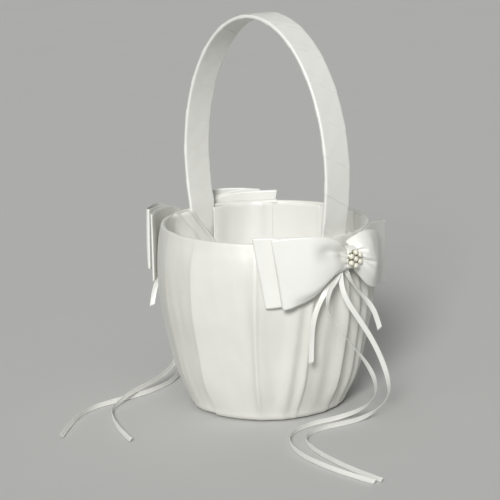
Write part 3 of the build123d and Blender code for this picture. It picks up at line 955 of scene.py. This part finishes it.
def loop_grid(side, front, back, edges, hidden, shape, end, slant):
    """One loop of ribbon: out along front, round a creased end, and in along back, which are lists of (depth,
    distance from the middle). edges and hidden are the ribbon's edges along them, side is -1 or 1 for the
    bow's left or right arm, and the top of the end stands slant mm further out than its bottom."""
    front, back = np.array(front, float), np.array(back, float)
    rows = []

    def row(path, y, lift, mixed=0.0):
        reach = y + slant * (ACROSS - 0.5) * (y / end) ** 2
        depth = curve_through(np.minimum(reach, path[-1, 1]), path[:, 1], path[:, 0])
        run = (path[-1, 0] - path[-2, 0]) / (path[-1, 1] - path[-2, 1])
        depth = depth + run * np.maximum(reach - path[-1, 1], 0)
        top, bottom = (
            curve_through(y, edges[0], edges[k]) * (1 - mixed)
            + curve_through(y, hidden[0], hidden[k]) * mixed
            for k in (1, 2)
        )
        height = bottom + (top - bottom) * ACROSS
        return np.column_stack([depth + lift, side * reach, height])

    outward = np.concatenate([np.linspace(1.0, 20, 27), np.linspace(21.2, end - 0.5, 26), [end - 0.2]])
    for y in outward:
        rows.append(row(front, y, shape(y, ACROSS)))
    tip_front, tip_back = rows[-1], row(back, end - 0.2, 0)
    outside = (tip_front + tip_back) / 2
    outside[:, 1] += side * 0.35
    outside[:, 0] -= 0.2
    rows.append(outside)
    for y in outward[::-1]:
        rows.append(row(back, y, 0.5 * plain_shape(y, ACROSS) - 0.2, 1 - float(smooth(y, end - 26, end - 3))))
    return np.array(rows)


def joined(name, grids):
    """One mesh of several grids, as the parts of one ribbon; the UV map runs across the ribbon."""
    work = bmesh.new()
    for grid in grids:
        part = sheet_mesh(name, grid, across=ACROSS * BOW_RIBBON_WIDTH)
        work.from_mesh(part)
        bpy.data.meshes.remove(part)
    return mesh_of(work, name)


FRONT_INSIDE = [(84.2, 0), (84.4, 5), (84.4, 14), (81.6, 26), (76.2, 38), (67.6, 54.0), (65.0, 59)]
FRONT_LOOP_LEFT = loop_grid(
    -1,
    front=[(87.6, 0), (88.2, 5), (90.0, 12), (88.8, 21), (84.4, 32), (77.2, 43), (68.6, 54), (65.6, 58)],
    back=FRONT_INSIDE, edges=LEFT_FRONT, hidden=HIDDEN_LEFT, shape=left_shape, end=51.8, slant=6.4,
)
FRONT_LOOP_RIGHT = loop_grid(
    1,
    front=[(88.2, 0), (89.4, 5), (92.0, 10.5), (92.2, 16), (90.4, 21.6), (86.6, 27.6), (81.0, 33.6),
           (73.4, 40.6), (70.4, 43.4)],
    back=[(84.2, 0), (84.4, 5), (84.0, 12), (81.6, 20), (77.6, 28), (71.6, 39), (69.0, 43.8)],
    edges=RIGHT_FRONT, hidden=HIDDEN_RIGHT, shape=right_shape, end=40.8, slant=0.6,
)
BACK_OUTSIDE = [(83.2, 0), (83.4, 5), (80.6, 20), (76.0, 30), (68.6, 44), (55.2, 60.6), (52.0, 65)]
BACK_INSIDE = [(80.8, 0), (80.6, 5), (78.2, 20), (74.0, 30), (66.6, 44), (54.0, 60.4), (51.0, 65)]
# The two loops of the back bow that the photograph shows over the rim have their own outer ends
BACK_END_OUTER = loop_grid(
    1,
    front=[(88.2, 0), (89.2, 5), (91.4, 11), (91.8, 18), (89.6, 26), (84.6, 35), (77.6, 45), (70.8, 52),
           (67, 56)],
    back=FRONT_INSIDE, edges=BACK_END, hidden=HIDDEN_LEFT, shape=left_shape, end=51.0, slant=-1.2,
)


def loop_behind(side, front, back, edges, end, slant):
    return loop_grid(side, front, back, edges, edges, plain_shape, end, slant)


BACK_LOOP_LEFT = loop_behind(-1, BACK_OUTSIDE, BACK_INSIDE, HIDDEN_LEFT, end=57.1, slant=6.8)
BACK_LOOP_RIGHT = loop_behind(
    1,
    [(83.2, 0), (83.2, 5), (79.6, 20), (75.0, 30), (68.0, 44), (60.4, 60.6), (58.4, 65)],
    [(80.8, 0), (80.6, 5), (77.4, 20), (73.0, 30), (66.2, 44), (59.4, 60.4), (57.4, 65)],
    HIDDEN_RIGHT, end=60.0, slant=0.6,
)
BACK_END_INNER = loop_behind(1, BACK_OUTSIDE, BACK_INSIDE, HIDDEN_LEFT, end=59.6, slant=0.6)
KNOT_BAND_HALF = 4.4
KNOT_SQUARENESS = 0.55


def knot_grid():
    """The band round the middle of the bow, gathered into fine folds that run round it."""
    depth, height = (knot_high[0] - knot_low[0]) / 2, (knot_high[2] - knot_low[2]) / 2
    centre = (knot_high[0] + knot_low[0]) / 2
    rows = []
    for share in np.linspace(-1, 1, 35):
        fold = 0.34 * abs(sin(3.4 * pi * share + 0.6)) ** 0.7 + 0.5 * max(0.0, abs(share) - 0.82) / 0.18
        row = []
        for k in range(72):
            a = tau * k / 72
            c, s = cos(a), sin(a)
            x = abs(c) ** KNOT_SQUARENESS * (1 if c > 0 else -1)
            z = abs(s) ** KNOT_SQUARENESS * (1 if s > 0 else -1)
            waist = 0.25 * cos(pi * share)
            row.append((
                centre + (depth - fold - 0.1 - 0.3 * share * share + waist * 0.3) * x,
                KNOT_BAND_HALF * share,
                KNOT_MIDDLE + (height - fold - 0.1 - 0.3 * share * share) * z,
            ))
        rows.append(row)
    return np.array(rows)


def felt_grid():
    """The felt pad between the knot and the cup: a short disc with a fuzzy, slightly swollen edge."""
    low, high = low_high("front_bow_pad")
    centre, radius = (low[2] + high[2]) / 2, (high[1] - low[1]) / 2
    section = [
        (0, 0.05), (0, 0.5), (0, 0.9), (0.12, 1.0), (0.35, 1.03), (0.65, 1.03), (0.88, 1.0), (1, 0.9),
        (1, 0.5), (1, 0.05),
    ]
    rows = []
    for depth, share in section:
        row = []
        for k in range(64):
            a = tau * k / 64
            fuzz = 1 + 0.03 * noise.noise((3 * cos(a), 3 * sin(a), 9 * depth))
            y, z = radius * share * fuzz * cos(a), radius * share * fuzz * sin(a)
            face = float(wall_radius(centre + z)) - 0.5 - y * y / 150
            row.append((face + (high[0] - face) * depth, y, centre + z))
        rows.append(row)
    return np.array(rows)


pearl_low, pearl_high = low_high("front_bow_pearls")
SETTING_BACK = low_high("front_bow_setting")[0][0]
PEARL_RADIUS = 1.9
PEARL_RING = 4.6
PEARL_DEPTH = pearl_high[0] - PEARL_RADIUS
PEARL_CENTRE = (pearl_low[2] + pearl_high[2]) / 2
PEARL_PLACES = [(0.0, PEARL_CENTRE)] + [
    (PEARL_RING * cos(radians(60 * k + 30)), PEARL_CENTRE + PEARL_RING * sin(radians(60 * k + 30)))
    for k in range(6)
]


LAID_ACROSS = Matrix.Rotation(pi / 2, 4, "Y") @ Matrix.Rotation(pi / 2, 4, "X")


def pearls_mesh(name):
    """Seven cultured-looking beads, each a little out of round, with a drill hole at each end of its axis."""
    work = bmesh.new()
    for k, (y, z) in enumerate(PEARL_PLACES):
        made = bmesh.ops.create_uvsphere(work, u_segments=32, v_segments=24, radius=PEARL_RADIUS - 0.02)
        spin = Matrix.Rotation(0.9 * k, 4, "X") @ LAID_ACROSS
        for vertex in made["verts"]:
            end = smooth(abs(vertex.co.z) / PEARL_RADIUS, 0.962, 0.995)
            ripple = 1 + 0.008 * noise.noise(vertex.co * 0.9 + Vector((5.0 * k, 0, 0)))
            vertex.co *= ripple * (1 - 0.28 * float(end))
            vertex.co = spin @ vertex.co + Vector((PEARL_DEPTH, y, z))
    work.transform(Matrix.Scale(MM, 4))
    return mesh_of(work, name)


def add_ring(work, centre, radius, wire, depth, around=28, about=10):
    """Adds a wire ring that faces +X, in mm."""
    loops = []
    for k in range(around):
        a = tau * k / around
        loops.append([
            work.verts.new((
                depth + wire * sin(b), centre[0] + (radius + wire * cos(b)) * cos(a),
                centre[1] + (radius + wire * cos(b)) * sin(a),
            ))
            for b in (tau * j / about for j in range(about))
        ])
    for k in range(around):
        here, ahead = loops[k], loops[(k + 1) % around]
        for j in range(about):
            work.faces.new((here[j], ahead[j], ahead[(j + 1) % about], here[(j + 1) % about]))


OUTLINE_STEPS = 180


def setting_mesh(name):
    """The stamped metal flower: a lobed plate with a rolled edge, a wire cup round each pearl, and grains."""
    work = bmesh.new()
    outline = []
    for k in range(OUTLINE_STEPS):
        a = tau * k / OUTLINE_STEPS
        outline.append((a, PEARL_RING + 0.55 + 1.05 * abs(cos(3 * (a - radians(30)))) ** 0.8))
    steps = [
        (0.05, 0.0), (0.6, 0.0), (0.93, 0.0), (0.98, 0.12), (1.0, 0.3), (0.98, 0.5), (0.93, 0.6), (0.86, 0.5),
        (0.6, 0.5), (0.05, 0.5),
    ]
    loops = [
        [work.verts.new((SETTING_BACK + lift, r * share * cos(a), PEARL_CENTRE + r * share * sin(a)))
         for a, r in outline]
        for share, lift in steps
    ]
    for one, two in zip(loops, loops[1:]):
        for k in range(OUTLINE_STEPS):
            beyond = (k + 1) % OUTLINE_STEPS
            work.faces.new((one[k], one[beyond], two[beyond], two[k]))
    work.faces.new(loops[-1])
    work.faces.new(loops[0][::-1])
    for place in PEARL_PLACES:
        add_ring(work, place, 1.45, 0.2, SETTING_BACK + 0.85)
    for k in range(6):
        for ring, size in ((2.75, 0.42), (5.15, 0.36)):
            a = radians(60 * k)
            made = bmesh.ops.create_icosphere(work, subdivisions=2, radius=size)
            where = Vector((SETTING_BACK + 0.75, ring * cos(a), PEARL_CENTRE + ring * sin(a)))
            for vertex in made["verts"]:
                vertex.co += where
    work.transform(Matrix.Scale(MM, 4))
    return mesh_of(work, name)


HALF_TURN = Matrix.Rotation(pi, 4, "Z")
BOW_RIBBON_THICK = 0.28
KNOT_BAND_THICK = 0.5
# For each bow: whether it is turned to the back, and the length of its ribbons and their loops
BOWS = {
    "front": (False, {
        "front_loops": (0.208, (FRONT_LOOP_LEFT, FRONT_LOOP_RIGHT)),
        "back_loops": (0.24, (BACK_LOOP_LEFT, BACK_LOOP_RIGHT)),
    }),
    "back": (True, {
        "front_loops": (0.22, (FRONT_LOOP_LEFT, BACK_END_OUTER)),
        "back_loops": (0.24, (BACK_LOOP_LEFT, BACK_END_INNER)),
    }),
}


def make_bow(end, turn, ribbons):
    """The pieces of the bow at one end of the handle."""
    place = turned if turn else np.asarray

    def at_end(mesh):
        if turn:
            mesh.transform(HALF_TURN)
        return mesh

    for which, (length, grids) in ribbons.items():
        ribbon_name = f"{end}_bow_ribbon_{which}"
        loops = joined(ribbon_name, [place(grid) for grid in grids])
        ribbon = new_piece(ribbon_name, loops, bow_satin, [f"{end}_bow_{which}"])
        thicken(ribbon, BOW_RIBBON_THICK)
    band_name = f"{end}_knot_band"
    band_mesh = sheet_mesh(band_name, place(knot_grid()), closed=True)
    band = new_piece(band_name, band_mesh, knot_satin, [f"{end}_bow_knot"])
    thicken(band, KNOT_BAND_THICK, -1)
    felt_name = f"{end}_felt_pad"
    felt_mesh = sheet_mesh(felt_name, place(felt_grid()), closed=True)
    felt = new_piece(felt_name, felt_mesh, cream_felt, [f"{end}_bow_pad"])
    pearls = at_end(pearls_mesh(f"{end}_pearls"))
    new_piece(f"{end}_pearls", pearls, cream_pearl, [f"{end}_bow_pearls"])
    setting = at_end(setting_mesh(f"{end}_setting"))
    new_piece(f"{end}_setting", setting, setting_metal, [f"{end}_bow_setting"])


for bow_end, (bow_turned, bow_ribbons) in BOWS.items():
    make_bow(bow_end, bow_turned, bow_ribbons)


# ---------------------------------------------------------------- floor and light


def floor_material():
    graph = Graph("pale_floor")
    paper = graph.cloud(graph.place(), 9, 4)
    graph.link(graph.between(paper, (0.55, 0.55, 0.54), (0.57, 0.57, 0.56)), "Base Color")
    graph.link(graph.bump(graph.cloud(graph.place(), 700, 3), 0.05, 0.0003), "Normal")
    graph.shape(Roughness=0.85, Specular_IOR_Level=0.2)
    return graph.material


FLOOR_REACH = 14.0
FLOOR_GAP = 0.0002

floor_mesh = bpy.data.meshes.new("floor")
corners = [(-FLOOR_REACH, -FLOOR_REACH), (FLOOR_REACH, -FLOOR_REACH), (FLOOR_REACH, FLOOR_REACH),
           (-FLOOR_REACH, FLOOR_REACH)]
floor_mesh.from_pydata([(x, y, cad_box[0].z - FLOOR_GAP) for x, y in corners], [], [(0, 1, 2, 3)])
floor_mesh.materials.append(floor_material())
floor = bpy.data.objects.new("floor", floor_mesh)
scene.collection.objects.link(floor)


def soft_light(name, toward, strength, spread, colour):
    """A distant soft light that comes from the direction toward; spread is its width in degrees."""
    data = bpy.data.lights.new(name, "SUN")
    data.angle = radians(spread)
    data.energy = strength
    data.color = colour
    light = bpy.data.objects.new(name, data)
    light.location = Vector(toward)
    light.rotation_mode = "QUATERNION"
    light.rotation_quaternion = Vector(toward).to_track_quat("Z", "Y")
    scene.collection.objects.link(light)


soft_light("key", (0.62, -0.78, 0.52), 2.65, 16, (1.0, 0.998, 0.99))
soft_light("top", (0.35, -0.45, 1.0), 0.35, 50, (1.0, 1.0, 0.99))
soft_light("back", (-0.5, 0.3, 1.0), 0.35, 50, (1.0, 1.0, 0.98))

world = bpy.data.worlds.new("studio")
world.use_nodes = True
surround = world.node_tree.nodes["Background"]
surround.inputs["Color"].default_value = (0.93, 0.95, 0.91, 1)
surround.inputs["Strength"].default_value = 0.17
scene.world = world
scene.view_settings.view_transform = "Standard"
